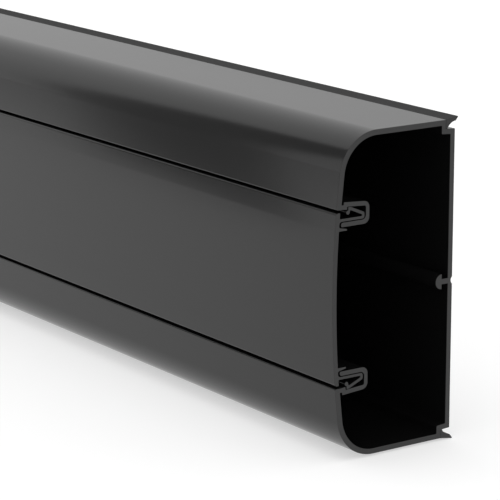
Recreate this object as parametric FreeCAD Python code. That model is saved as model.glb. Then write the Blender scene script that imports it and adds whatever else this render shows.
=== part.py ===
import FreeCAD, Part
import math
import os

# Cord cover raceway: a dado or skirting cable trunking, sold as a straight length.
# An extruded PVC channel stands against the wall, and a clip-on cover closes its bowed front.
# Two soft PVC lips, extruded onto the channel's rear corners, seal it against the wall.
#
# The section is drawn with two measures, in millimetres:
#   d, the depth out from the wall plane towards the room,
#   h, the height above the section's middle.
# It is the same above and below the middle, so its upper half is drawn and mirrored.
# The finished part has its length along X, the room on -Y, the wall on +Y and stands on Z = 0.

# Overall sizes
length = 2000.0
height = 130.0
depth = 59.2
wall = 2.2
bow_radius = 410.0
front_corner_radius = 17.7
edge_radius = 0.3
free_end_rounding = 0.33  # share of a thin wall that rounds each edge of its free end

# Stepped rear corners, where the soft lips are bonded
lip_seat_depth = 4.6
lip_seat_drop = 3.5
ledge_slope = 0.07
step_wall = 2.0
step_radius = 0.4

# Soft lips
lip_foot = 0.9
lip_overhang = 1.85
lip_rise = 1.05
lip_tip_radius = 0.25
lip_bevel_overhang = 0.35
lip_bevel_drop = 0.8
lip_hollow = 0.7

# Middle rail, which holds partitions and device boxes, and the groove behind it
rail_stem = 2.2
rail_neck = 3.1
rail_head_radius = 3.1
rail_root_radius = 0.3
groove_width = 3.0
groove_depth = 0.7

# Front rims of the channel, and the clip channels folded in behind them
rim_height = 29.53
rim_wall = 2.3
rim_edge_radius = 0.6
rim_floor = 1.83
lock_land = 5.15
lock_step = 0.96
lock_nib = 0.25
lock_nib_length = 2.5
clip_wall = 1.85
clip_end_wall = 1.7
clip_slope = 0.07
clip_channel_length = 9.0
clip_channel_height = 5.93
clip_outer_radius = 2.7
clip_upper_radius = 0.7
clip_lower_radius = 1.8
arm_lead_radius = 0.95
notch_width = 1.0

# Cover and its spring legs
seam = 1.08
cover_wall = 1.95
cover_edge_radius = 1.15
leg_wall = 1.15
leg_root_radius = 0.4
spring_wall = 1.25
spring_tip_height = 2.6
spring_tip_radius = 1.0
spring_root_radius = 0.3
heel_length = 1.25
finger_wall = 1.0
finger_drop = 2.2
bead_radius = 0.85
bead_lean = 0.2
guide_rib_wall = 1.3
guide_rib_tip_wall = 0.68
guide_rib_length = 3.75
slot_upper_radius = 1.1
slot_lower_radius = 0.7

# Clearances between the cover's legs and the clip channels
heel_clearance = 0.1
heel_gap = 0.45
leg_clearance = 0.3
spring_tip_clearance = 0.65
arm_end_clearance = 0.72
guide_rib_clearance = 0.25

# Heights and depths that follow from the sizes above
half_height = height / 2
bow_centre_depth = depth - bow_radius
rim_bow_radius = bow_radius - rim_wall
cover_bow_radius = bow_radius - cover_wall
rim_end = half_height - rim_height
cover_edge = rim_end - seam
rim_floor_top = rim_end + rim_floor


def bow_depth(radius, h):
    """Depth of a bowed face at a height."""
    return bow_centre_depth + math.sqrt(radius ** 2 - h ** 2)


lock_depth = bow_depth(bow_radius, rim_end) - lock_land
channel_end_depth = lock_depth - clip_channel_length
clip_back_depth = channel_end_depth - clip_end_wall
arm_top = rim_end + lock_step - clip_channel_height
arm_bottom = arm_top - clip_wall
arm_end_depth = bow_depth(cover_bow_radius, (arm_top + arm_bottom) / 2) - arm_end_clearance
block_depth = bow_depth(rim_bow_radius, rim_floor_top) - notch_width

leg_bottom = arm_top + leg_clearance
leg_top = leg_bottom + leg_wall
spring_tip_depth = channel_end_depth + spring_tip_clearance
spring_tip_top = leg_bottom + spring_tip_height
heel_front_depth = lock_depth - heel_gap
heel_back_depth = heel_front_depth - heel_length
finger_back_depth = heel_front_depth - finger_wall
guide_rib_top = arm_bottom - guide_rib_clearance
guide_rib_bottom = guide_rib_top - guide_rib_wall
guide_rib_end_depth = bow_depth(cover_bow_radius, guide_rib_top) - guide_rib_length


def ledge_height(d):
    """Height of the ledge under a lip, which falls a little towards the wall."""
    return half_height - lip_seat_drop - ledge_slope * (lip_seat_depth - d)


def seat_height(d):
    """Height of the clip channel's ceiling, which the cover's heels press against."""
    return rim_end + lock_step - clip_slope * (lock_depth - d)


def clip_top_height(d):
    """Height of the clip channel's upper face."""
    return seat_height(d) + clip_wall


def heel_height(d):
    """Height of the top of a heel, just under the ceiling of the clip channel."""
    return seat_height(d) - heel_clearance


spring_slope = (heel_height(heel_back_depth) - spring_tip_top) / (heel_back_depth - spring_tip_depth)


def spring_underside(d):
    """Height of the lower face of the slanting spring."""
    upper_face = spring_tip_top + spring_slope * (d - spring_tip_depth)
    return upper_face - spring_wall * math.hypot(1, spring_slope)


def flat(d, h):
    """A point of the section as a plane vector, before it is placed."""
    return FreeCAD.Vector(d, h, 0)


def corner(d, h, radius=0.0):
    """A corner of an outline, rounded by its radius, which lies between two straight runs."""
    return {"at": flat(d, h), "via": None, "radius": radius}


def arc(via, to):
    """A stretch of an outline that runs through one point to another in an arc."""
    return {"at": to, "via": via, "radius": 0.0}


def rounding(before, at, after, radius):
    """Start, middle, end and centre of the arc that rounds the corner between two straight runs."""
    back = (before - at).normalize()
    ahead = (after - at).normalize()
    half_angle = back.getAngle(ahead) / 2
    inward = (back + ahead).normalize()
    centre = at + inward * (radius / math.sin(half_angle))
    reach = radius / math.tan(half_angle)
    return at + back * reach, centre - inward * radius, at + ahead * reach, centre


def on_bow(radius, h):
    """Point of a bowed face at a height."""
    return flat(bow_depth(radius, h), h)


def bow_run(radius, h_from, h_to):
    """Stretch of an outline along a bowed face."""
    return arc(on_bow(radius, (h_from + h_to) / 2), on_bow(radius, h_to))


def bow_rounding(bow, level, radius, side, outside=False):
    """Points of the arc that rounds the corner between a bowed face and a level one.

    side is 1 where the arc lies above the level face and -1 where it lies below it.
    outside is true where the arc lies on the room's side of the bowed face.
    """
    centre_h = level + side * radius
    reach = bow + radius if outside else bow - radius
    centre = flat(bow_centre_depth + math.sqrt(reach ** 2 - centre_h ** 2), centre_h)
    outward = (centre - flat(bow_centre_depth, 0)).normalize()
    to_bow = outward * (-1 if outside else 1)
    to_level = flat(0, -side)
    middle = centre + (to_bow + to_level).normalize() * radius
    return {"bow": centre + to_bow * radius, "middle": middle, "level": centre + to_level * radius}


def onto_level(turn):
    """The rounded corner of an outline that leaves a bowed face for a level one."""
    return arc(turn["middle"], turn["level"])


def onto_bow(turn):
    """The rounded corner of an outline that leaves a level face for a bowed one."""
    return arc(turn["middle"], turn["bow"])


def level_start(turn):
    """The point where a level face of an outline meets its rounded corner."""
    return corner(turn["level"].x, turn["level"].y)


lip_tip = flat(-lip_overhang, half_height + lip_rise)
lip_bevel = flat(-lip_bevel_overhang, half_height - lip_bevel_drop)
lip_top_root = flat(lip_seat_depth, half_height)
lip_tip_centre = rounding(lip_top_root, lip_tip, lip_bevel, lip_tip_radius)[-1]
wall_y = (depth + lip_tip_centre.x - lip_tip_radius) / 2
middle_z = lip_tip_centre.y + lip_tip_radius


def placed(point):
    """A point of the section in the part's own frame, at the near end of the length."""
    return FreeCAD.Vector(-length / 2, wall_y - point.x, middle_z + point.y)


def section_face(marks):
    """Face inside a closed outline of corners and arcs."""
    starts, middles, ends = [], [], []
    for index, mark in enumerate(marks):
        start, middle, end = mark["at"], None, mark["at"]
        if mark["radius"] > 0:
            after = marks[(index + 1) % len(marks)]["at"]
            start, middle, end, centre = rounding(marks[index - 1]["at"], mark["at"], after, mark["radius"])
        starts.append(start)
        middles.append(middle)
        ends.append(end)
    edges = []
    for index, mark in enumerate(marks):
        pen, start = placed(ends[index - 1]), placed(starts[index])
        if mark["via"]:
            edges.append(Part.Arc(pen, placed(mark["via"]), start).toShape())
        else:
            edges.append(Part.LineSegment(pen, start).toShape())
        if middles[index]:
            edges.append(Part.Arc(start, placed(middles[index]), placed(ends[index])).toShape())
    return Part.Face(Part.Wire(edges))


def mirrored(shape):
    """The same shape on the other side of the section's middle."""
    return shape.mirror(FreeCAD.Vector(0, 0, middle_z), FreeCAD.Vector(0, 0, 1))


def extruded(face):
    """A section face drawn out to the full length."""
    return face.extrude(FreeCAD.Vector(length, 0, 0))


def symmetric_profile(marks):
    """Full-length solid from the outline of a section's upper half, which ends on the middle line."""
    upper = extruded(section_face(marks))
    return upper.fuse(mirrored(upper)).removeSplitter().Solids[0]


def groove_marks():
    """Rear groove, from its bottom on the middle line to the wall plane."""
    half_width = groove_width / 2
    radius = (half_width ** 2 + groove_depth ** 2) / (2 * groove_depth)
    centre_d = groove_depth - radius
    via_h = half_width / 2
    via = flat(centre_d + math.sqrt(radius ** 2 - via_h ** 2), via_h)
    return [corner(groove_depth, 0), arc(via, flat(0, half_width))]


def rear_step_marks():
    """Outside of the stepped rear corner: the ledge and the face that the lip is bonded to."""
    return [
        corner(0, ledge_height(0), edge_radius),
        corner(lip_seat_depth, ledge_height(lip_seat_depth)),
        corner(lip_seat_depth, half_height),
    ]


def rim_marks():
    """Outside of the top, the rounded front corner and the rim down to the seam."""
    front = bow_rounding(bow_radius, half_height, front_corner_radius, side=-1)
    end = bow_rounding(bow_radius, rim_end, rim_edge_radius, side=1)
    return [
        level_start(front),
        onto_bow(front),
        bow_run(bow_radius, front["bow"].y, end["bow"].y),
        onto_level(end),
    ]


def clip_channel_marks():
    """The rim's floor, its locking nib, and the channel that folds in behind the rim."""
    return [
        corner(lock_depth + lock_nib_length, rim_end),
        corner(lock_depth, rim_end - lock_nib, edge_radius),
        corner(lock_depth, seat_height(lock_depth), edge_radius),
        corner(channel_end_depth, seat_height(channel_end_depth), clip_upper_radius),
        corner(channel_end_depth, arm_top, clip_lower_radius),
        corner(arm_end_depth, arm_top, arm_lead_radius),
        corner(arm_end_depth, arm_bottom, clip_wall * free_end_rounding),
        corner(clip_back_depth, arm_bottom, clip_outer_radius),
        corner(clip_back_depth, clip_top_height(clip_back_depth), clip_outer_radius),
        corner(block_depth, clip_top_height(block_depth), edge_radius),
        corner(block_depth, rim_floor_top, edge_radius),
        corner(bow_depth(rim_bow_radius, rim_floor_top), rim_floor_top),
    ]


def lining_marks():
    """Inside of the rim, the front corner, the top and the stepped rear corner."""
    ceiling = half_height - wall
    front = bow_rounding(rim_bow_radius, ceiling, front_corner_radius - wall, side=-1)
    step_depth = lip_seat_depth + step_wall
    return [
        bow_run(rim_bow_radius, rim_floor_top, front["bow"].y),
        onto_level(front),
        corner(step_depth, ceiling, step_radius),
        corner(step_depth, ledge_height(step_depth) - wall, step_radius),
        corner(wall, ledge_height(wall) - wall, step_radius),
    ]


def rail_marks():
    """Upper half of the T-shaped middle rail, up to its crown on the middle line."""
    neck_depth = wall + rail_neck
    crown_via = flat(neck_depth + rail_head_radius * math.sqrt(0.5), rail_head_radius * math.sqrt(0.5))
    return [
        corner(wall, rail_stem / 2, rail_root_radius),
        corner(neck_depth, rail_stem / 2),
        corner(neck_depth, rail_head_radius),
        arc(crown_via, flat(neck_depth + rail_head_radius, 0)),
    ]


def wall_channel():
    """The channel: back, top, bottom, both rims with their clip channels, and the middle rail."""
    marks = groove_marks() + rear_step_marks() + rim_marks()
    return symmetric_profile(marks + clip_channel_marks() + lining_marks() + rail_marks())


def cover_edge_marks():
    """Outside of the cover from its crown to its edge, and round the edge to its inside."""
    outer = bow_rounding(bow_radius, cover_edge, cover_edge_radius, side=-1)
    inner = bow_rounding(cover_bow_radius, cover_edge, edge_radius, side=-1, outside=True)
    root = bow_rounding(cover_bow_radius, leg_top, leg_root_radius, side=1)
    return [
        corner(depth, 0),
        bow_run(bow_radius, 0, outer["bow"].y),
        onto_level(outer),
        level_start(inner),
        onto_bow(inner),
        bow_run(cover_bow_radius, inner["bow"].y, root["bow"].y),
        onto_level(root),
    ]


def spring_leg_marks():
    """The leg that reaches into the clip channel, folds back as a spring and ends in a beaded finger."""
    spring_root_depth = spring_tip_depth + spring_wall
    bead_back_depth = finger_back_depth + bead_lean
    bead_depth = bead_back_depth + bead_radius
    bead_h = heel_height(heel_front_depth) - finger_drop
    bead_front_via = flat(bead_depth + bead_radius, bead_h)
    bead_joint_rise = math.sqrt(bead_radius ** 2 - (heel_front_depth - bead_depth) ** 2)
    return [
        corner(spring_root_depth, leg_top, spring_root_radius),
        corner(spring_root_depth, spring_underside(spring_root_depth), spring_root_radius),
        corner(finger_back_depth, spring_underside(finger_back_depth), edge_radius),
        corner(bead_back_depth, bead_h),
        arc(bead_front_via, flat(heel_front_depth, bead_h + bead_joint_rise)),
        corner(heel_front_depth, heel_height(heel_front_depth), edge_radius),
        corner(heel_back_depth, heel_height(heel_back_depth)),
        corner(spring_tip_depth, spring_tip_top, spring_tip_radius),
        corner(spring_tip_depth, leg_bottom, spring_tip_radius),
    ]


def guide_rib_marks():
    """The slot that takes the clip channel's arm, the tapering rib under it, and the cover's inside."""
    slot_upper = bow_rounding(cover_bow_radius, leg_bottom, slot_upper_radius, side=-1)
    slot_lower = bow_rounding(cover_bow_radius, guide_rib_top, slot_lower_radius, side=1)
    rib_root = bow_rounding(cover_bow_radius, guide_rib_bottom, edge_radius, side=-1)
    rib_end_radius = guide_rib_tip_wall * free_end_rounding
    return [
        level_start(slot_upper),
        onto_bow(slot_upper),
        bow_run(cover_bow_radius, slot_upper["bow"].y, slot_lower["bow"].y),
        onto_level(slot_lower),
        corner(guide_rib_end_depth, guide_rib_bottom + guide_rib_tip_wall, rib_end_radius),
        corner(guide_rib_end_depth, guide_rib_bottom, rib_end_radius),
        level_start(rib_root),
        onto_bow(rib_root),
        bow_run(cover_bow_radius, rib_root["bow"].y, 0),
    ]


def clip_on_cover():
    """The cover: a bowed plate with a spring leg and a guide rib behind each edge."""
    return symmetric_profile(cover_edge_marks() + spring_leg_marks() + guide_rib_marks())


def seal_lip():
    """The upper soft lip: a tapering blade that rises from its root and overhangs the wall plane."""
    foot_depth = lip_seat_depth - lip_foot
    foot = flat(foot_depth, ledge_height(foot_depth))
    chord = lip_bevel - foot
    hollow = flat(-chord.y, chord.x).normalize() * -lip_hollow
    face = section_face([
        corner(lip_seat_depth, ledge_height(lip_seat_depth)),
        corner(foot.x, foot.y),
        arc((foot + lip_bevel) * 0.5 + hollow, lip_bevel),
        corner(lip_tip.x, lip_tip.y, lip_tip_radius),
        corner(lip_top_root.x, lip_top_root.y),
    ])
    return extruded(face)


upper_lip = seal_lip()
pieces = {
    "wall_channel": wall_channel(),
    "clip_on_cover": clip_on_cover(),
    "seal_lip_upper": upper_lip,
    "seal_lip_lower": mirrored(upper_lip),
}

os.makedirs("parts", exist_ok=True)
for name, piece in pieces.items():
    piece.exportStep("parts/" + name + ".step")
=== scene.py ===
import math

import bmesh
import bpy
from bpy.props import FloatProperty, FloatVectorProperty, PointerProperty
from bpy.types import Operator, Panel, PropertyGroup
from mathutils import Matrix, Vector


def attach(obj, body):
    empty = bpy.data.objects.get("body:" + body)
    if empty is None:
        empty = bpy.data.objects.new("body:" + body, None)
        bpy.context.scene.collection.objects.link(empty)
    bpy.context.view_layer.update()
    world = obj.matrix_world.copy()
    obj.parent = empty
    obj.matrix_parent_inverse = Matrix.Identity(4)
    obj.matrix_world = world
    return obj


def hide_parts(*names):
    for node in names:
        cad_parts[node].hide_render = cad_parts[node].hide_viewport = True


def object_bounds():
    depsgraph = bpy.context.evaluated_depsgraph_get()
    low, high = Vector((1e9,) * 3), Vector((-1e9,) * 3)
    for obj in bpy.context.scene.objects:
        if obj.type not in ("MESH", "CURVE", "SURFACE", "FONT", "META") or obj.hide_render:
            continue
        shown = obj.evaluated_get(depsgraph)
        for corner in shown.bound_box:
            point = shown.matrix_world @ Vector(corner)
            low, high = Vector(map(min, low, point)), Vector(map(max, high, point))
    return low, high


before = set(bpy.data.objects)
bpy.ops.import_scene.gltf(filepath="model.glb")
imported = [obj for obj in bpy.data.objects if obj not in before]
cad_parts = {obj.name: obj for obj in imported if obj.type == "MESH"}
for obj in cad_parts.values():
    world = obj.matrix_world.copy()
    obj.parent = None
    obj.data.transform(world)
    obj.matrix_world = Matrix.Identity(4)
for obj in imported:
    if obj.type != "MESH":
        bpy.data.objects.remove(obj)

# A length of black cord cover raceway: a wall channel, its clip-on cover and two soft lips.
# Each of the four is one extrusion, so each is made in the same way. Its section is read
# off the cut end of the piece that the frame holds, and a Geometry Nodes tree draws it out
# to the full length. The length runs along X, with the near end at +X and the room on -Y.

bl_info = {
    "name": "Cord Cover Raceway",
    "version": (1, 0, 0),
    "blender": (4, 5, 0),
    "location": "3D View > Sidebar > Raceway",
    "description": "Makes a length of cord cover raceway and the studio that shows it",
    "category": "Object",
}

MILLIMETRE = 0.001
SAME_POINT = 0.001 * MILLIMETRE
CAD_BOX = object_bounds()
STOCK_LOW, STOCK_HIGH = (Vector(corner) for corner in CAD_BOX)


def linear(code):
    """Linear red, green, blue and alpha of an sRGB hex colour such as "#2c2c2d"."""
    shares = [int(code[start:start + 2], 16) / 255 for start in (1, 3, 5)]
    return [s / 12.92 if s <= 0.04045 else ((s + 0.055) / 1.055) ** 2.4 for s in shares] + [1.0]


def add_node(tree, kind, settings=None, inputs=None):
    """Add a node, set its settings, and fill its inputs with values or with links from sockets."""
    node = tree.nodes.new(kind)
    for name, value in (settings or {}).items():
        setattr(node, name, value)
    for key, value in (inputs or {}).items():
        if isinstance(value, bpy.types.NodeSocket):
            tree.links.new(value, node.inputs[key])
        else:
            node.inputs[key].default_value = value
    return node


class ExtrusionSettings(PropertyGroup):
    """Sizes that the four extrusions share."""

    length: FloatProperty(
        name="Length",
        description="Length that the stock is cut to, back from the near end",
        default=STOCK_HIGH.x - STOCK_LOW.x,
        min=0.01,
        unit="LENGTH",
        subtype="DISTANCE",
    )
    saw_chamfer: FloatProperty(
        name="Saw Chamfer",
        description="Width of the edge that is broken all round each cut end",
        default=0.15 * MILLIMETRE,
        min=0.0,
        unit="LENGTH",
        subtype="DISTANCE",
        precision=5,
    )
    sharp_angle: FloatProperty(
        name="Sharp Angle",
        description="Turn between two faces from which the edge between them looks sharp",
        default=math.radians(24),
        min=0.0,
        unit="ROTATION",
        subtype="ANGLE",
    )
    ridge_level: FloatProperty(
        name="Ridge Level",
        description="Height above and below the cover's middle at which a faint ridge runs along it",
        default=26.8 * MILLIMETRE,
        min=0.0,
        unit="LENGTH",
        subtype="DISTANCE",
        precision=5,
    )
    ridge_height: FloatProperty(
        name="Ridge Height",
        description="How far the faint ridge stands out of the bowed face of the cover",
        default=0.028 * MILLIMETRE,
        min=0.0,
        unit="LENGTH",
        subtype="DISTANCE",
        precision=6,
    )
    ridge_outer_fall: FloatProperty(
        name="Ridge Outer Fall",
        description="Distance in which the ridge falls evenly to the face, towards the cover's edge",
        default=6.4 * MILLIMETRE,
        min=0.0001,
        unit="LENGTH",
        subtype="DISTANCE",
        precision=5,
    )
    ridge_inner_fall: FloatProperty(
        name="Ridge Inner Fall",
        description="Distance in which the ridge fades into the face, towards the cover's middle",
        default=8.0 * MILLIMETRE,
        min=0.0001,
        unit="LENGTH",
        subtype="DISTANCE",
        precision=5,
    )


class FinishSettings(PropertyGroup):
    """Colours and textures of the two plastics."""

    pvc_colour: FloatVectorProperty(
        name="Rigid PVC Colour",
        description="Black pigment of the channel and the cover",
        default=linear("#111111"),
        size=4,
        min=0.0,
        max=1.0,
        subtype="COLOR",
    )
    lip_colour: FloatVectorProperty(
        name="Soft PVC Colour",
        description="Black pigment of the two lips",
        default=linear("#2c2c2c"),
        size=4,
        min=0.0,
        max=1.0,
        subtype="COLOR",
    )
    sawn_colour: FloatVectorProperty(
        name="Sawn Rigid PVC Colour",
        description="Black of a cut end of the channel or the cover, greyed by the saw",
        default=linear("#262626"),
        size=4,
        min=0.0,
        max=1.0,
        subtype="COLOR",
    )
    sawn_lip_colour: FloatVectorProperty(
        name="Sawn Soft PVC Colour",
        description="Black of a cut end of a lip, which the saw tears less evenly",
        default=linear("#1e1e1e"),
        size=4,
        min=0.0,
        max=1.0,
        subtype="COLOR",
    )
    die_line_spacing: FloatProperty(
        name="Die Line Spacing",
        description="Distance between the fine lines that the die draws along the stock",
        default=1.6 * MILLIMETRE,
        min=0.1 * MILLIMETRE,
        unit="LENGTH",
        subtype="DISTANCE",
        precision=4,
    )
    saw_mark_spacing: FloatProperty(
        name="Saw Mark Spacing",
        description="Distance between the marks of the saw's teeth on a cut end",
        default=0.6 * MILLIMETRE,
        min=0.1 * MILLIMETRE,
        unit="LENGTH",
        subtype="DISTANCE",
        precision=4,
    )
    lip_grain: FloatProperty(
        name="Lip Grain",
        description="Size of the matt grain on the soft lips",
        default=0.3 * MILLIMETRE,
        min=0.1 * MILLIMETRE,
        unit="LENGTH",
        subtype="DISTANCE",
        precision=4,
    )


class StageSettings(PropertyGroup):
    """Floor, lights and camera."""

    floor_side: FloatProperty(
        name="Floor Side",
        description="Side of the square floor",
        default=80.0,
        min=1.0,
        unit="LENGTH",
        subtype="DISTANCE",
    )
    floor_colour: FloatVectorProperty(
        name="Floor Colour",
        description="Colour of the floor",
        default=linear("#bebebe"),
        size=4,
        min=0.0,
        max=1.0,
        subtype="COLOR",
    )
    floor_fill: FloatProperty(
        name="Floor Fill",
        description="Brightness added to the floor where it is seen, which turns it white",
        default=0.52,
        min=0.0,
        max=1.0,
    )
    back_wall: FloatVectorProperty(
        name="Back Wall",
        description="Colour of the studio behind the object, low down, where less light falls",
        default=linear("#d3d3d3"),
        size=4,
        min=0.0,
        max=1.0,
        subtype="COLOR",
    )
    room: FloatVectorProperty(
        name="Room",
        description="Colour of the rest of the studio",
        default=linear("#ffffff"),
        size=4,
        min=0.0,
        max=1.0,
        subtype="COLOR",
    )
    softbox_side: FloatProperty(
        name="Softbox Side",
        description="Side of the square softbox over the object",
        default=1.6,
        min=0.1,
        unit="LENGTH",
        subtype="DISTANCE",
    )
    softbox_height: FloatProperty(
        name="Softbox Height",
        description="Height of the softbox above the floor",
        default=2.2,
        min=0.1,
        unit="LENGTH",
        subtype="DISTANCE",
    )
    softbox_power: FloatProperty(
        name="Softbox Power",
        description="Power of the softbox",
        default=8.0,
        min=0.0,
        unit="POWER",
    )
    card_foot: FloatProperty(
        name="Card Foot",
        description="Width at the floor of the grey card whose reflection darkens the upper front",
        default=0.37,
        min=0.0,
        unit="LENGTH",
        subtype="DISTANCE",
    )
    card_top: FloatProperty(
        name="Card Top",
        description="Width of the grey card along its top",
        default=1.6,
        min=0.0,
        unit="LENGTH",
        subtype="DISTANCE",
    )
    card_height: FloatProperty(
        name="Card Height",
        description="Height of the grey card",
        default=2.3,
        min=0.0,
        unit="LENGTH",
        subtype="DISTANCE",
    )
    focal_length: FloatProperty(
        name="Focal Length",
        description="Focal length of the camera, on a sensor 36 mm wide",
        default=181.9,
        min=1.0,
        unit="CAMERA",
        subtype="DISTANCE_CAMERA",
    )


# Materials

NOISE_LOW, NOISE_HIGH = 0.3, 0.7  # most of a noise texture lies between these

# Roughness of each surface, from its smoothest spots to its dullest.
SATIN_LOW, SATIN_HIGH = 0.125, 0.16
SAWN_LOW, SAWN_HIGH = 0.42, 0.5
MATT_LOW, MATT_HIGH = 0.72, 0.82

# Index of refraction of each surface. PVC's is 1.54, and these match the object's reflections.
SATIN_IOR = 1.44
SAWN_IOR = 1.5
MATT_IOR = 1.38
MATT_SPECULAR = 0.3  # specular level of the lips, whose grain scatters much of their shine

DIE_LINE_RUN = 1.5  # a die line keeps its shape for about this length
DIE_LINE_DEPTH = 0.002 * MILLIMETRE
PATCH_WIDTH = 28 * MILLIMETRE  # patches of the skin that cooled a little duller
PATCH_STRETCH = 9  # how much longer than wide such a patch is
BLADE_CENTRE = (0, 0.06, -0.11)  # axis of the saw, below and behind the stock
SAW_MARK_DEPTH = 0.006 * MILLIMETRE
GRAIN_STRETCH = 4  # how much longer than wide the lips' grain is
GRAIN_DEPTH = 0.004 * MILLIMETRE


def new_material(name):
    """An empty material, with its tree and its output node."""
    material = bpy.data.materials.new(name)
    material.use_nodes = True
    material.node_tree.nodes.clear()
    return material, add_node(material.node_tree, "ShaderNodeOutputMaterial")


def extruded_pvc(name, finish):
    """Rigid PVC as it leaves the die.

    The die and the cooling plates give a smooth satin skin, and scratch faint lines into it
    that run the full length. The eye sees soft reflections of the room, a little streaky
    along the stock and in places slightly duller.
    """
    material, output = new_material(name)
    tree = material.node_tree
    place = add_node(tree, "ShaderNodeTexCoord").outputs["Object"]
    across = 1 / finish.die_line_spacing
    lines = add_node(tree, "ShaderNodeTexNoise", None, {
        "Vector": add_node(tree, "ShaderNodeMapping", None, {
            "Vector": place, "Scale": (1 / DIE_LINE_RUN, across, across),
        }).outputs["Vector"],
        "Scale": 1.0, "Detail": 3.0, "Roughness": 0.55,
    })
    patch = 1 / PATCH_WIDTH
    patches = add_node(tree, "ShaderNodeTexNoise", None, {
        "Vector": add_node(tree, "ShaderNodeMapping", None, {
            "Vector": place, "Scale": (patch / PATCH_STRETCH, patch, patch),
        }).outputs["Vector"],
        "Scale": 1.0, "Detail": 2.0, "Roughness": 0.5,
    })
    roughness = add_node(tree, "ShaderNodeMapRange", None, {
        "Value": patches.outputs["Fac"],
        "From Min": NOISE_LOW, "From Max": NOISE_HIGH, "To Min": SATIN_LOW, "To Max": SATIN_HIGH,
    })
    relief = add_node(tree, "ShaderNodeBump", None, {
        "Height": lines.outputs["Fac"], "Distance": DIE_LINE_DEPTH, "Strength": 1.0,
    })
    skin = add_node(tree, "ShaderNodeBsdfPrincipled", None, {
        "Base Color": finish.pvc_colour,
        "Roughness": roughness.outputs["Result"],
        "IOR": SATIN_IOR,
        "Normal": relief.outputs["Normal"],
    })
    tree.links.new(skin.outputs["BSDF"], output.inputs["Surface"])
    return material


def sawn_pvc(name, colour, finish):
    """Cut end of PVC.

    A fine-toothed circular saw leaves shallow arcs about its own centre, so the end is
    duller than the skin and catches light in fine curved lines.
    """
    material, output = new_material(name)
    tree = material.node_tree
    place = add_node(tree, "ShaderNodeTexCoord").outputs["Object"]
    offset = add_node(tree, "ShaderNodeVectorMath", {"operation": "SUBTRACT"}, {
        0: place, 1: BLADE_CENTRE,
    })
    on_the_cut = add_node(tree, "ShaderNodeVectorMath", {"operation": "MULTIPLY"}, {
        0: offset.outputs["Vector"], 1: (0, 1, 1),
    })
    radius = add_node(tree, "ShaderNodeVectorMath", {"operation": "LENGTH"}, {
        0: on_the_cut.outputs["Vector"],
    })
    marks = add_node(tree, "ShaderNodeTexNoise", {"noise_dimensions": "1D"}, {
        "W": radius.outputs["Value"],
        "Scale": 1 / finish.saw_mark_spacing, "Detail": 2.0, "Roughness": 0.6,
    })
    relief = add_node(tree, "ShaderNodeBump", None, {
        "Height": marks.outputs["Fac"], "Distance": SAW_MARK_DEPTH, "Strength": 1.0,
    })
    roughness = add_node(tree, "ShaderNodeMapRange", None, {
        "Value": marks.outputs["Fac"],
        "From Min": NOISE_LOW, "From Max": NOISE_HIGH, "To Min": SAWN_LOW, "To Max": SAWN_HIGH,
    })
    face = add_node(tree, "ShaderNodeBsdfPrincipled", None, {
        "Base Color": colour,
        "Roughness": roughness.outputs["Result"],
        "IOR": SAWN_IOR,
        "Normal": relief.outputs["Normal"],
    })
    tree.links.new(face.outputs["BSDF"], output.inputs["Surface"])
    return material


def soft_pvc(name, finish):
    """Soft PVC of the lips.

    The plasticised compound leaves the die with a fine matt grain, so it looks flat and dark
    beside the rigid skin, even along the line of sight.
    """
    material, output = new_material(name)
    tree = material.node_tree
    place = add_node(tree, "ShaderNodeTexCoord").outputs["Object"]
    grain = 1 / finish.lip_grain
    grains = add_node(tree, "ShaderNodeTexNoise", None, {
        "Vector": add_node(tree, "ShaderNodeMapping", None, {
            "Vector": place, "Scale": (grain / GRAIN_STRETCH, grain, grain),
        }).outputs["Vector"],
        "Scale": 1.0, "Detail": 3.0, "Roughness": 0.6,
    })
    relief = add_node(tree, "ShaderNodeBump", None, {
        "Height": grains.outputs["Fac"], "Distance": GRAIN_DEPTH, "Strength": 1.0,
    })
    roughness = add_node(tree, "ShaderNodeMapRange", None, {
        "Value": grains.outputs["Fac"],
        "From Min": NOISE_LOW, "From Max": NOISE_HIGH, "To Min": MATT_LOW, "To Max": MATT_HIGH,
    })
    skin = add_node(tree, "ShaderNodeBsdfPrincipled", None, {
        "Base Color": finish.lip_colour,
        "Roughness": roughness.outputs["Result"],
        "IOR": MATT_IOR,
        "Specular IOR Level": MATT_SPECULAR,
        "Normal": relief.outputs["Normal"],
    })
    tree.links.new(skin.outputs["BSDF"], output.inputs["Surface"])
    return material


# Extrusions

LIKE_LENGTH = 0.02  # chords of one arc differ in length by less than this share
LEAST_TURN = math.radians(0.1)  # sides that turn by less than this are one straight run
CORNER_TURN = math.radians(24)  # sides that turn by more than this meet in a corner
FINE_TURN = math.radians(0.4)  # turn of one fine chord
FINE_SIDE = 0.25 * MILLIMETRE  # least length of a fine chord
CRISP_SIDE = 0.2 * MILLIMETRE  # width of the strips beside the ridge that keep it crisp
FACE_FALL = 1.6 * MILLIMETRE  # depth that the cover's bowed face takes up
END_FACING = 0.5  # a face belongs to a cut end where this much of its normal lies along X
TREE_NAME = "Extrusion"


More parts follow.
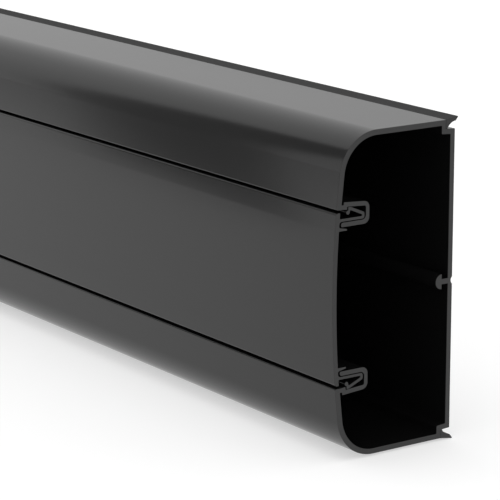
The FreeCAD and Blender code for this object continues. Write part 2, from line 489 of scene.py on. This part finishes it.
def rounder(corners):
    """Redraw an outline with finer steps round its arcs.

    The frame draws each arc as a few sides of one length. Where a side turns gently into
    another of its own length, both are chords of one arc, which is cut into finer chords.
    """
    count = len(corners)
    sides = [corners[(i + 1) % count] - corners[i] for i in range(count)]
    turns = [sides[i - 1].angle(sides[i]) for i in range(count)]
    bends = [sides[i - 1].cross(sides[i]).x for i in range(count)]
    points = []
    for i, side in enumerate(sides):
        points.append(corners[i])
        ahead = (i + 1) % count
        for vertex, other in ((i, sides[i - 1]), (ahead, sides[ahead])):
            like = abs(other.length - side.length) < LIKE_LENGTH * side.length
            if like and LEAST_TURN < turns[vertex] < CORNER_TURN:
                turn = math.copysign(turns[vertex], bends[vertex])
                break
        else:
            continue
        steps = min(math.ceil(abs(turn) / FINE_TURN), int(side.length / FINE_SIDE))
        outward = side.cross(Vector((1, 0, 0))).normalized() * math.copysign(1, turn)
        radius = side.length / (2 * math.sin(abs(turn) / 2))
        centre = corners[i] + side / 2 - outward * radius * math.cos(turn / 2)
        for step in range(1, steps):
            swing = Matrix.Rotation(turn * step / steps, 3, "X")
            points.append(centre + swing @ (corners[i] - centre))
    return points


def ridged(points):
    """Raise a faint ridge along the cover's bowed face, level with the foot of each guide rib.

    The outline gets new points at each ridge and close beside it. Its points on the bowed
    face then move out, by less the farther they lie from the ridge.
    """
    settings = bpy.context.scene.raceway_extrusion
    middle = (STOCK_LOW.z + STOCK_HIGH.z) / 2
    back_of_face = min(point.y for point in points) + FACE_FALL
    levels = [
        middle + side * (settings.ridge_level + offset)
        for side in (-1, 1) for offset in (-CRISP_SIDE, 0, CRISP_SIDE)
    ]
    shaped = []
    for i, point in enumerate(points):
        after = points[(i + 1) % len(points)]
        rise = after.z - point.z
        shaped.append(point)
        if rise and max(point.y, after.y) <= back_of_face:
            shares = sorted((level - point.z) / rise for level in levels)
            shaped.extend(point.lerp(after, share) for share in shares if 0 < share < 1)
    for point in shaped:
        if point.y >= back_of_face:
            continue
        beyond = abs(point.z - middle) - settings.ridge_level
        if beyond > 0:
            share = max(0, 1 - beyond / settings.ridge_outer_fall)
        else:
            share = max(0, 1 + beyond / settings.ridge_inner_fall) ** 2
        point.y -= settings.ridge_height * share
    return shaped


def cut_end(node, reshape):
    """Mesh with one face: the section of a piece of the frame, at its near end, facing +X."""
    shape = bmesh.new()
    shape.from_mesh(node.data)
    bmesh.ops.remove_doubles(shape, verts=shape.verts, dist=SAME_POINT)
    near_x = max(vertex.co.x for vertex in shape.verts)
    end = {face for face in shape.faces if all(near_x - v.co.x < SAME_POINT for v in face.verts)}
    bmesh.ops.delete(shape, geom=[face for face in shape.faces if face not in end], context="FACES")
    outline = bmesh.ops.dissolve_faces(shape, faces=list(shape.faces))["region"][0]
    outline.normal_update()
    if outline.normal.x < 0:
        outline.normal_flip()
    points = rounder([vertex.co.copy() for vertex in outline.verts])
    if reshape:
        points = reshape(points)
    shape.free()
    mesh = bpy.data.meshes.new(node.name + "_section")
    mesh.from_pydata(points, [], [range(len(points))])
    return mesh


def extrusion_tree():
    """Geometry Nodes tree that draws a section out to a length and dresses its skin and ends.

    It is made for the first piece, and the other pieces use the same tree.
    """
    tree = bpy.data.node_groups.get(TREE_NAME)
    if tree:
        return tree
    tree = bpy.data.node_groups.new(TREE_NAME, "GeometryNodeTree")
    sockets = (
        ("Section", "NodeSocketGeometry"),
        ("Length", "NodeSocketFloat"),
        ("Sharp Angle", "NodeSocketFloat"),
        ("Skin", "NodeSocketMaterial"),
        ("Sawn End", "NodeSocketMaterial"),
    )
    for name, kind in sockets:
        tree.interface.new_socket(name=name, in_out="INPUT", socket_type=kind)
    tree.interface.new_socket(name="Extrusion", in_out="OUTPUT", socket_type="NodeSocketGeometry")
    given = add_node(tree, "NodeGroupInput").outputs

    # The section is pulled back from the near end, and a copy of it closes that end.
    back = add_node(tree, "ShaderNodeCombineXYZ", None, {
        "X": add_node(tree, "ShaderNodeMath", {"operation": "MULTIPLY"}, {
            0: given["Length"], 1: -1.0,
        }).outputs["Value"],
    })
    pulled = add_node(tree, "GeometryNodeExtrudeMesh", {"mode": "FACES"}, {
        "Mesh": given["Section"], "Offset": back.outputs["Vector"], "Offset Scale": 1.0,
        "Individual": False,
    })
    outward = add_node(tree, "GeometryNodeFlipFaces", None, {"Mesh": pulled.outputs["Mesh"]})
    both_ends = add_node(tree, "GeometryNodeJoinGeometry")
    tree.links.new(given["Section"], both_ends.inputs["Geometry"])
    tree.links.new(outward.outputs["Mesh"], both_ends.inputs["Geometry"])
    closed = add_node(tree, "GeometryNodeMergeByDistance", None, {
        "Geometry": both_ends.outputs["Geometry"], "Distance": SAME_POINT,
    })

    # Only real corners of the section stay sharp.
    turn = add_node(tree, "GeometryNodeInputMeshEdgeAngle").outputs["Unsigned Angle"]
    is_corner = add_node(tree, "FunctionNodeCompare", {"operation": "GREATER_THAN"}, {
        "A": turn, "B": given["Sharp Angle"],
    })
    smooth = add_node(tree, "GeometryNodeSetShadeSmooth", {"domain": "FACE"}, {
        "Geometry": closed.outputs["Geometry"], "Shade Smooth": True,
    })
    cornered = add_node(tree, "GeometryNodeSetShadeSmooth", {"domain": "EDGE"}, {
        "Geometry": smooth.outputs["Geometry"],
        "Selection": is_corner.outputs["Result"],
        "Shade Smooth": False,
    })

    # Edges that lie across the length are the saw's, and are marked for the chamfer.
    ends = add_node(tree, "GeometryNodeInputMeshEdgeVertices").outputs
    run = add_node(tree, "ShaderNodeVectorMath", {"operation": "SUBTRACT"}, {
        0: ends["Position 1"], 1: ends["Position 2"],
    })
    along = add_node(tree, "ShaderNodeSeparateXYZ", None, {"Vector": run.outputs["Vector"]})
    is_sawn = add_node(tree, "FunctionNodeCompare", {"operation": "EQUAL"}, {
        "A": along.outputs["X"], "B": 0.0, "Epsilon": SAME_POINT,
    })
    marked = add_node(
        tree, "GeometryNodeStoreNamedAttribute", {"data_type": "FLOAT", "domain": "EDGE"}, {
            "Geometry": cornered.outputs["Geometry"],
            "Name": "bevel_weight_edge",
            "Value": is_sawn.outputs["Result"],
        })

    facing = add_node(tree, "ShaderNodeSeparateXYZ", None, {
        "Vector": add_node(tree, "GeometryNodeInputNormal").outputs["Normal"],
    })
    is_end = add_node(tree, "FunctionNodeCompare", {"operation": "GREATER_THAN"}, {
        "A": add_node(tree, "ShaderNodeMath", {"operation": "ABSOLUTE"}, {
            0: facing.outputs["X"],
        }).outputs["Value"],
        "B": END_FACING,
    })
    real = add_node(tree, "GeometryNodeRealizeInstances", None, {
        "Geometry": marked.outputs["Geometry"],
    })
    skinned = add_node(tree, "GeometryNodeSetMaterial", None, {
        "Geometry": real.outputs["Geometry"], "Material": given["Skin"],
    })
    dressed = add_node(tree, "GeometryNodeSetMaterial", None, {
        "Geometry": skinned.outputs["Geometry"],
        "Selection": is_end.outputs["Result"],
        "Material": given["Sawn End"],
    })
    add_node(tree, "NodeGroupOutput", None, {"Extrusion": dressed.outputs["Geometry"]})
    return tree


def set_inputs(modifier, values):
    """Give a Geometry Nodes modifier its inputs, each found by its name in the tree."""
    for item in modifier.node_group.interface.items_tree:
        if item.item_type == "SOCKET" and item.in_out == "INPUT" and item.name in values:
            modifier[item.identifier] = values[item.name]


def applied(piece):
    """Turn a piece with modifiers into a plain mesh and drop the modifiers."""
    graph = bpy.context.evaluated_depsgraph_get()
    finished = bpy.data.meshes.new_from_object(piece.evaluated_get(graph), depsgraph=graph)
    finished.name = piece.name
    piece.modifiers.clear()
    piece.data = finished


def extrude(name, node_name, skin, sawn_end, reshape=None):
    """Make one finished extrusion in place of a plain piece of the frame.

    reshape, where it is given, changes the section's outline.
    """
    settings = bpy.context.scene.raceway_extrusion
    piece = bpy.data.objects.new(name, cut_end(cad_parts[node_name], reshape))
    bpy.context.scene.collection.objects.link(piece)
    drawn = piece.modifiers.new("Extrusion", "NODES")
    drawn.node_group = extrusion_tree()
    set_inputs(drawn, {
        "Length": settings.length,
        "Sharp Angle": settings.sharp_angle,
        "Skin": skin,
        "Sawn End": sawn_end,
    })
    chamfer = piece.modifiers.new("Saw Chamfer", "BEVEL")
    chamfer.limit_method = "WEIGHT"
    chamfer.width = settings.saw_chamfer
    chamfer.segments = 2
    chamfer.use_clamp_overlap = False
    chamfer.harden_normals = True
    even = piece.modifiers.new("Even Normals", "WEIGHTED_NORMAL")
    even.keep_sharp = True
    applied(piece)
    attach(piece, "root")
    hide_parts(node_name)
    return piece


class RACEWAY_OT_channel(Operator):
    """Make the wall channel with its bowed rims, clip channels and middle rail"""

    bl_idname = "raceway.channel"
    bl_label = "Wall Channel"

    def execute(self, context):
        finish = context.scene.raceway_finish
        extrude(
            "channel_extrusion", "wall_channel",
            extruded_pvc("satin_black_rigid_pvc_channel", finish),
            sawn_pvc("sawn_black_rigid_pvc_channel", finish.sawn_colour, finish),
        )
        return {"FINISHED"}


class RACEWAY_OT_cover(Operator):
    """Make the bowed cover with the spring legs that hold it in the clip channels"""

    bl_idname = "raceway.cover"
    bl_label = "Clip-on Cover"

    def execute(self, context):
        finish = context.scene.raceway_finish
        extrude(
            "cover_extrusion", "clip_on_cover",
            extruded_pvc("satin_black_rigid_pvc_cover", finish),
            sawn_pvc("sawn_black_rigid_pvc_cover", finish.sawn_colour, finish),
            ridged,
        )
        return {"FINISHED"}


class RACEWAY_OT_lips(Operator):
    """Make the two soft lips that seal the rear corners against the wall"""

    bl_idname = "raceway.lips"
    bl_label = "Seal Lips"

    def execute(self, context):
        finish = context.scene.raceway_finish
        skin = soft_pvc("matt_black_soft_pvc", finish)
        sawn_end = sawn_pvc("sawn_black_soft_pvc", finish.sawn_lip_colour, finish)
        for side in ("upper", "lower"):
            extrude(side + "_lip_extrusion", "seal_lip_" + side, skin, sawn_end)
        return {"FINISHED"}


# Stage

PAINTED_POOL_CENTRE = (0.6, 0.35, 0)  # middle of the pool of painted light on the floor
PAINTED_POOL_RADIUS = 0.9  # the painted light is even up to here
PAINTED_POOL_REACH = 1.9  # the painted light has faded out here
REST_SHARE = 0.6  # fill of the floor outside the pool of painted light, as a share of the fill in it

CARD_PLACE = Vector((0.498, -0.382, 0))  # foot of the grey card's right edge
CARD_HEADING = math.radians(14.5)  # turn of the card from the stock's length
CARD_LEAN = 0.283  # how far the right edge leans to the left, from foot to top
SHADOW_TOE_REACH = 0.03  # how far the card's toe, a painted shadow of the card on the floor, reaches to the right
TOE_CUT = 0.01  # how far the card is cut back above its toe
SHADOW_TOE_HEIGHT = 0.07  # height of the toe, the painted shadow
# Painted shade: the board is lighter at its foot and darker at its top.
BOARD_FOOT_COLOUR = "#bababa"
BOARD_TOP_COLOUR = "#8c8c8c"
SHADE_TOP_HEIGHT = 1.5  # height at which the painted shade gives the board its top colour

# The back wall fades into the room upwards, and where a direction no longer points to +Y.
WALL_TOP, ROOM_FROM = math.radians(7), math.radians(36)  # above the horizon
WALL_SIDE, ROOM_SIDE = 0.3, -0.1  # Y of the direction
SOFTBOX_PLACE = (0.4, -0.3)

CAMERA_HEADING = math.radians(55.02)  # turn of the view to the left, from straight at the wall
CAMERA_LIFT = math.radians(13.597)  # how steeply the camera looks down
CAMERA_PLACE = (1.7498, -0.593646, 0.313048)
SENSOR_WIDTH = 36.0  # millimetres, as the focal length is


def seamless_paper(settings):
    """White seamless paper that keeps the object's shadow, and is brightest around it, where a pool
    of light is painted on it.
    """
    material, output = new_material("white_seamless_paper")
    tree = material.node_tree
    paper = add_node(tree, "ShaderNodeBsdfDiffuse", None, {"Color": settings.floor_colour})
    ray = add_node(tree, "ShaderNodeLightPath").outputs
    seen_or_glossy = add_node(tree, "ShaderNodeMath", {"operation": "MAXIMUM"}, {
        0: ray["Is Camera Ray"], 1: ray["Is Glossy Ray"],
    })
    seen = add_node(tree, "ShaderNodeMath", {"operation": "MAXIMUM"}, {
        0: seen_or_glossy.outputs["Value"], 1: ray["Is Transmission Ray"],
    })
    place = add_node(tree, "ShaderNodeTexCoord").outputs["Object"]
    # Painted pool of light: the fill is full near the middle and fades to a share of it further out.
    distance = add_node(tree, "ShaderNodeVectorMath", {"operation": "DISTANCE"}, {
        0: place, 1: PAINTED_POOL_CENTRE,
    })
    pool = add_node(tree, "ShaderNodeMapRange", None, {
        "Value": distance.outputs["Value"],
        "From Min": PAINTED_POOL_RADIUS, "From Max": PAINTED_POOL_REACH,
        "To Min": settings.floor_fill, "To Max": REST_SHARE * settings.floor_fill,
    })
    strength = add_node(tree, "ShaderNodeMath", {"operation": "MULTIPLY"}, {
        0: seen.outputs["Value"], 1: pool.outputs["Result"],
    })
    fill = add_node(tree, "ShaderNodeEmission", None, {"Strength": strength.outputs["Value"]})
    both = add_node(tree, "ShaderNodeAddShader", None, {
        0: paper.outputs["BSDF"], 1: fill.outputs["Emission"],
    })
    tree.links.new(both.outputs["Shader"], output.inputs["Surface"])
    return material


def painted_shade_board():
    """Matt grey board, with painted shade that darkens it towards the top, for a card that stands in
    for a dark room.
    """
    material, output = new_material("painted_shade_grey_board")
    tree = material.node_tree
    place = add_node(tree, "ShaderNodeSeparateXYZ", None, {
        "Vector": add_node(tree, "ShaderNodeTexCoord").outputs["Object"],
    })
    # Painted shade: the grey darkens from the foot of the board upwards.
    painted_shade_share = add_node(tree, "ShaderNodeMapRange", None, {
        "Value": place.outputs["Z"], "From Min": 0.0, "From Max": SHADE_TOP_HEIGHT,
    })
    grey = add_node(tree, "ShaderNodeMix", {"data_type": "RGBA"}, {
        "Factor": painted_shade_share.outputs["Result"],
    })
    grey.inputs["A"].default_value = linear(BOARD_FOOT_COLOUR)
    grey.inputs["B"].default_value = linear(BOARD_TOP_COLOUR)
    board = add_node(tree, "ShaderNodeBsdfDiffuse", None, {"Color": grey.outputs["Result"]})
    tree.links.new(board.outputs["BSDF"], output.inputs["Surface"])
    return material


def flat_sheet(name, corners, material):
    """A flat sheet of the stage."""
    mesh = bpy.data.meshes.new(name)
    mesh.from_pydata(corners, [], [range(len(corners))])
    mesh.materials.append(material)
    sheet = bpy.data.objects.new(name, mesh)
    bpy.context.scene.collection.objects.link(sheet)
    return sheet


def make_floor(settings):
    """Square paper floor, which the object stands in the middle of."""
    half = settings.floor_side / 2
    corners = [(-half, -half, 0), (half, -half, 0), (half, half, 0), (-half, half, 0)]
    flat_sheet("studio_floor", corners, seamless_paper(settings))


def make_card(settings):
    """Grey card in front of the object, seen only in reflections: a painted reflection of a darker
    part of the room, which is the dark band of the upper front.
    """
    along = Vector((math.cos(CARD_HEADING), math.sin(CARD_HEADING), 0))
    # The toe is a painted shadow: it stands in for the card's shadow on the floor, to its right.
    toe = CARD_PLACE + SHADOW_TOE_REACH * along
    heel = CARD_PLACE - TOE_CUT * along + Vector((0, 0, SHADOW_TOE_HEIGHT))
    high_right = CARD_PLACE - CARD_LEAN * along + Vector((0, 0, settings.card_height))
    low_left = CARD_PLACE - settings.card_foot * along
    high_left = high_right - settings.card_top * along
    card = flat_sheet("painted_reflection_card", [low_left, toe, heel, high_right, high_left], painted_shade_board())
    # The card shows only in reflections, as a painted reflection: the camera doesn't see it, and it
    # neither lights nor shades anything.
    card.visible_camera = False
    card.visible_diffuse = False
    card.visible_shadow = False


def make_lights(settings):
    """A white room with a greyer back wall, and one softbox."""
    world = bpy.data.worlds.new("studio_room")
    bpy.context.scene.world = world
    world.use_nodes = True
    tree = world.node_tree
    way = add_node(tree, "ShaderNodeSeparateXYZ", None, {
        "Vector": add_node(tree, "ShaderNodeTexCoord").outputs["Generated"],
    })
    upward = add_node(tree, "ShaderNodeMapRange", None, {
        "Value": way.outputs["Z"],
        "From Min": math.sin(WALL_TOP), "From Max": math.sin(ROOM_FROM),
    })
    forward = add_node(tree, "ShaderNodeMapRange", None, {
        "Value": way.outputs["Y"], "From Min": WALL_SIDE, "From Max": ROOM_SIDE,
    })
    share = add_node(tree, "ShaderNodeMath", {"operation": "MAXIMUM"}, {
        0: upward.outputs["Result"], 1: forward.outputs["Result"],
    })
    shade = add_node(tree, "ShaderNodeMix", {"data_type": "RGBA"}, {
        "Factor": share.outputs["Value"],
    })
    shade.inputs["A"].default_value = settings.back_wall
    shade.inputs["B"].default_value = settings.room
    tree.links.new(shade.outputs["Result"], tree.nodes["Background"].inputs["Color"])
    lamp = bpy.data.lights.new("softbox", "AREA")
    lamp.shape = "SQUARE"
    lamp.size = settings.softbox_side
    lamp.energy = settings.softbox_power
    softbox = bpy.data.objects.new("softbox", lamp)
    softbox.location = (*SOFTBOX_PLACE, settings.softbox_height)
    softbox.visible_camera = False
    bpy.context.scene.collection.objects.link(softbox)


def make_camera(settings):
    """Camera by the near end, which looks down the length from the front."""
    right = Vector((math.cos(CAMERA_HEADING), math.sin(CAMERA_HEADING), 0))
    back = Vector((
        math.sin(CAMERA_HEADING) * math.cos(CAMERA_LIFT),
        -math.cos(CAMERA_HEADING) * math.cos(CAMERA_LIFT),
        math.sin(CAMERA_LIFT),
    ))
    place = Matrix((right, back.cross(right), back)).transposed().to_4x4()
    place.translation = CAMERA_PLACE
    lens = bpy.data.cameras.new("camera")
    lens.sensor_width = SENSOR_WIDTH
    lens.lens = settings.focal_length
    lens.clip_end = 2 * settings.floor_side
    camera = bpy.data.objects.new("camera", lens)
    camera.matrix_world = place
    bpy.context.scene.collection.objects.link(camera)
    bpy.context.scene.camera = camera


class RACEWAY_OT_stage(Operator):
    """Make the floor, the grey card, the lights and the camera"""

    bl_idname = "raceway.stage"
    bl_label = "Studio"

    def execute(self, context):
        settings = context.scene.raceway_stage
        context.scene.view_settings.view_transform = "Standard"
        make_floor(settings)
        make_card(settings)
        make_lights(settings)
        make_camera(settings)
        return {"FINISHED"}


class RACEWAY_PT_sidebar(Panel):
    """Lists the pieces and their settings in the 3D view's sidebar"""

    bl_idname = "RACEWAY_PT_sidebar"
    bl_label = "Cord Cover Raceway"
    bl_space_type = "VIEW_3D"
    bl_region_type = "UI"
    bl_category = "Raceway"

    def draw(self, context):
        groups = (
            (context.scene.raceway_extrusion, ()),
            (context.scene.raceway_finish, (RACEWAY_OT_channel, RACEWAY_OT_cover, RACEWAY_OT_lips)),
            (context.scene.raceway_stage, (RACEWAY_OT_stage,)),
        )
        for settings, operators in groups:
            box = self.layout.box()
            for name in type(settings).__annotations__:
                box.prop(settings, name)
            for operator in operators:
                box.operator(operator.bl_idname)


SETTINGS = {
    "raceway_extrusion": ExtrusionSettings,
    "raceway_finish": FinishSettings,
    "raceway_stage": StageSettings,
}
OPERATORS = (RACEWAY_OT_channel, RACEWAY_OT_cover, RACEWAY_OT_lips, RACEWAY_OT_stage)
CLASSES = (*SETTINGS.values(), *OPERATORS, RACEWAY_PT_sidebar)


def register():
    """Register the classes, and give the scene its settings."""
    for cls in CLASSES:
        bpy.utils.register_class(cls)
    for name, group in SETTINGS.items():
        setattr(bpy.types.Scene, name, PointerProperty(type=group))


def unregister():
    """Take the settings and the classes away again."""
    for name in SETTINGS:
        delattr(bpy.types.Scene, name)
    for cls in reversed(CLASSES):
        bpy.utils.unregister_class(cls)


def main():
    """Make every piece and the stage."""
    register()
    bpy.ops.raceway.channel()
    bpy.ops.raceway.cover()
    bpy.ops.raceway.lips()
    bpy.ops.raceway.stage()


if __name__ == "__main__":
    main()
